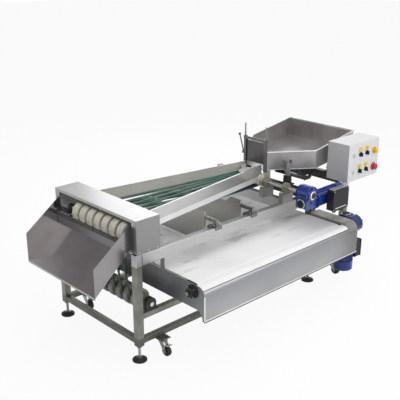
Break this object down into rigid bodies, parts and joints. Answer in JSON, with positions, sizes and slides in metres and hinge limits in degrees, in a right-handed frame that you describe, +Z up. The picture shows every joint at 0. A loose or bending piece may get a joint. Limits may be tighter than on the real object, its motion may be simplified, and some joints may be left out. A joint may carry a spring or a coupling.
{
  "type": "vegetable sorting machine",
  "caption": "Vibrating hopper feeds produce onto diverging round cords that grade it by size onto a cross belt with sliding dividers, on a stainless tube frame with casters.",
  "frame": {"origin": "centre of the footprint, on the floor", "axes": "+X along the lane from the chute to the hopper, +Y to the back, +Z up"},
  "size_m": [2.613, 1.3209, 1.3],
  "materials": {
    "stainless": "brushed",
    "shaft_steel": "turned",
    "belt_white": "satin",
    "cord_green": "satin",
    "pulley_cream": "satin",
    "black_rubber": "matte",
    "black_iron": "satin",
    "blue_paint": "gloss",
    "grey_paint": "satin",
    "black_plastic": "satin",
    "yellow_plastic": "gloss",
    "red_plastic": "gloss",
    "zinc": "satin",
    "dark_steel": "satin"
  },
  "bodies": {
    "machine": {"front_side_frame": "stainless", "rear_side_frame": "stainless", "cross_rails": "stainless", "levelling_feet": "black_rubber", "caster_plates": "zinc", "hood": "stainless", "discharge_chute": "stainless", "lane_walls": "stainless", "grading_cord_runs": "cord_green", "grading_cord_returns": "cord_green", "shaft_bearings": "black_iron", "bearing_brackets": "stainless", "grader_gearbox": "blue_paint", "grader_motor": "blue_paint", "conveyor_plates": "stainless", "nose_strip": "belt_white", "front_skirt": "stainless", "drive_guard": "stainless", "conveyor_belt": "belt_white", "slider_bed": "stainless", "conveyor_bearings": "black_iron", "belt_gearbox": "blue_paint", "belt_motor": "blue_paint", "control_box": "grey_paint", "box_bracket": "dark_steel", "rubber_mounts": "black_rubber"},
    "head": {"head_shaft": "shaft_steel", "head_pulleys": "pulley_cream"},
    "take_up": {"take_up_shaft": "shaft_steel", "take_up_pulleys": "pulley_cream"},
    "idler": {"return_idler": "shaft_steel"},
    "tail": {"tail_drum": "pulley_cream"},
    "front_roller": {"front_belt_roller": "shaft_steel"},
    "rear_roller": {"rear_belt_roller": "shaft_steel"},
    "divider_a": {"divider_1": "stainless"},
    "divider_b": {"divider_2": "stainless"},
    "knob_a": {"divider_1_knob": "black_plastic"},
    "knob_b": {"divider_2_knob": "black_plastic"},
    "feeder": {"hopper": "stainless", "vibrator_motor": "dark_steel"},
    "gate": {"gate_plate": "stainless"},
    "lever": {"gate_lever": "black_plastic"},
    "door": {"box_door": "grey_paint", "door_locks": "zinc"},
    "yellow_push": {"yellow_button": "yellow_plastic"},
    "red_push": {"red_button": "red_plastic"},
    "select_1": {"selector_1": "black_plastic"},
    "select_2": {"selector_2": "black_plastic"},
    "select_3": {"selector_3": "black_plastic"},
    "select_4": {"selector_4": "black_plastic"},
    "front_left_fork": {"front_left_caster_fork": "zinc"},
    "front_left_wheel": {"front_left_caster_wheel": "black_rubber"},
    "front_left_pedal": {"front_left_brake_pedal": "black_plastic"},
    "rear_left_fork": {"rear_left_caster_fork": "zinc"},
    "rear_left_wheel": {"rear_left_caster_wheel": "black_rubber"},
    "rear_left_pedal": {"rear_left_brake_pedal": "black_plastic"},
    "front_right_fork": {"front_right_caster_fork": "zinc"},
    "front_right_wheel": {"front_right_caster_wheel": "black_rubber"},
    "rear_right_fork": {"rear_right_caster_fork": "zinc"},
    "rear_right_wheel": {"rear_right_caster_wheel": "black_rubber"}
  },
  "joints": [
    {"name": "head_turn", "type": "hinge", "parent": "machine", "child": "head", "pos_m": [-0.9915, 0.0975, 0.89], "axis": [0, 1, 0], "continuous": true},
    {"name": "take_up_turn", "type": "hinge", "parent": "machine", "child": "take_up", "pos_m": [-0.9065, 0.0975, 0.39], "axis": [0, 1, 0], "continuous": true},
    {"name": "idler_turn", "type": "hinge", "parent": "machine", "child": "idler", "pos_m": [-0.8255, 0.0975, 0.868], "axis": [0, 1, 0], "continuous": true},
    {"name": "tail_turn", "type": "hinge", "parent": "machine", "child": "tail", "pos_m": [0.4435, 0.0975, 0.88], "axis": [0, 1, 0], "continuous": true},
    {"name": "front_roller_turn", "type": "hinge", "parent": "machine", "child": "front_roller", "pos_m": [-0.0385, -0.5485, 0.545], "axis": [1, 0, 0], "continuous": true},
    {"name": "rear_roller_turn", "type": "hinge", "parent": "machine", "child": "rear_roller", "pos_m": [-0.0385, 0.5135, 0.545], "axis": [1, 0, 0], "continuous": true},
    {"name": "divider_a_slide", "type": "slide", "parent": "machine", "child": "divider_a", "axis": [1, 0, 0], "range_m": [-0.12, 0.12]},
    {"name": "knob_a_turn", "type": "hinge", "parent": "divider_a", "child": "knob_a", "pos_m": [-0.2985, -0.2165, 0.741], "axis": [0, 1, 0], "range_deg": [-90, 90]},
    {"name": "divider_b_slide", "type": "slide", "parent": "machine", "child": "divider_b", "axis": [1, 0, 0], "range_m": [-0.12, 0.12]},
    {"name": "knob_b_turn", "type": "hinge", "parent": "divider_b", "child": "knob_b", "pos_m": [0.0625, -0.2165, 0.741], "axis": [0, 1, 0], "range_deg": [-90, 90]},
    {"name": "hopper_shake", "type": "slide", "parent": "machine", "child": "feeder", "axis": [1, 0, 0], "range_m": [-0.003, 0.003], "stiffness_N_per_m": 60000},
    {"name": "gate_lift", "type": "slide", "parent": "feeder", "child": "gate", "axis": [0, 0, 1], "range_m": [0, 0.1]},
    {"name": "lever_turn", "type": "hinge", "parent": "feeder", "child": "lever", "pos_m": [0.4705, 0.2155, 1.062], "axis": [0, 1, 0], "range_deg": [-60, 8]},
    {"name": "door_swing", "type": "hinge", "parent": "machine", "child": "door", "pos_m": [1.3025, -0.4595, 1.018], "axis": [0, 0, 1], "range_deg": [0, 120]},
    {"name": "selector_1_turn", "type": "hinge", "parent": "door", "child": "select_1", "pos_m": [1.0485, -0.4825, 1.072], "axis": [0, 1, 0], "range_deg": [-45, 45]},
    {"name": "selector_2_turn", "type": "hinge", "parent": "door", "child": "select_2", "pos_m": [1.1325, -0.4825, 1.072], "axis": [0, 1, 0], "range_deg": [-45, 45]},
    {"name": "selector_3_turn", "type": "hinge", "parent": "door", "child": "select_3", "pos_m": [1.0485, -0.4825, 0.938], "axis": [0, 1, 0], "range_deg": [-45, 45]},
    {"name": "selector_4_turn", "type": "hinge", "parent": "door", "child": "select_4", "pos_m": [1.1325, -0.4825, 0.938], "axis": [0, 1, 0], "range_deg": [-45, 45]},
    {"name": "yellow_press", "type": "slide", "parent": "door", "child": "yellow_push", "axis": [0, 1, 0], "range_m": [0, 0.004], "stiffness_N_per_m": 600},
    {"name": "red_press", "type": "slide", "parent": "door", "child": "red_push", "axis": [0, 1, 0], "range_m": [0, 0.004], "stiffness_N_per_m": 600},
    {"name": "front_left_swivel", "type": "hinge", "parent": "machine", "child": "front_left_fork", "pos_m": [-0.8345, -0.2945, 0.11], "axis": [0, 0, 1], "continuous": true},
    {"name": "front_left_roll", "type": "hinge", "parent": "front_left_fork", "child": "front_left_wheel", "pos_m": [-0.8345, -0.3345, 0.038], "axis": [1, 0, 0], "continuous": true},
    {"name": "front_left_pedal_tilt", "type": "hinge", "parent": "front_left_fork", "child": "front_left_pedal", "pos_m": [-0.8345, -0.3385, 0.082], "axis": [1, 0, 0], "range_deg": [-8, 10]},
    {"name": "rear_left_swivel", "type": "hinge", "parent": "machine", "child": "rear_left_fork", "pos_m": [-0.8345, 0.6045, 0.11], "axis": [0, 0, 1], "continuous": true},
    {"name": "rear_left_roll", "type": "hinge", "parent": "rear_left_fork", "child": "rear_left_wheel", "pos_m": [-0.8345, 0.5645, 0.038], "axis": [1, 0, 0], "continuous": true},
    {"name": "rear_left_pedal_tilt", "type": "hinge", "parent": "rear_left_fork", "child": "rear_left_pedal", "pos_m": [-0.8345, 0.5605, 0.082], "axis": [1, 0, 0], "range_deg": [-8, 10]},
    {"name": "front_right_swivel", "type": "hinge", "parent": "machine", "child": "front_right_fork", "pos_m": [1.0335, -0.2945, 0.11], "axis": [0, 0, 1], "continuous": true},
    {"name": "front_right_roll", "type": "hinge", "parent": "front_right_fork", "child": "front_right_wheel", "pos_m": [1.0335, -0.3345, 0.038], "axis": [1, 0, 0], "continuous": true},
    {"name": "rear_right_swivel", "type": "hinge", "parent": "machine", "child": "rear_right_fork", "pos_m": [1.0335, 0.6045, 0.11], "axis": [0, 0, 1], "continuous": true},
    {"name": "rear_right_roll", "type": "hinge", "parent": "rear_right_fork", "child": "rear_right_wheel", "pos_m": [1.0335, 0.5645, 0.038], "axis": [1, 0, 0], "continuous": true}
  ],
  "couplings": [
    {"joint": "take_up_turn", "follows": "head_turn", "ratio": 1},
    {"joint": "idler_turn", "follows": "head_turn", "ratio": -1.3143},
    {"joint": "tail_turn", "follows": "head_turn", "ratio": 0.88462},
    {"joint": "rear_roller_turn", "follows": "front_roller_turn", "ratio": 1}
  ]
}
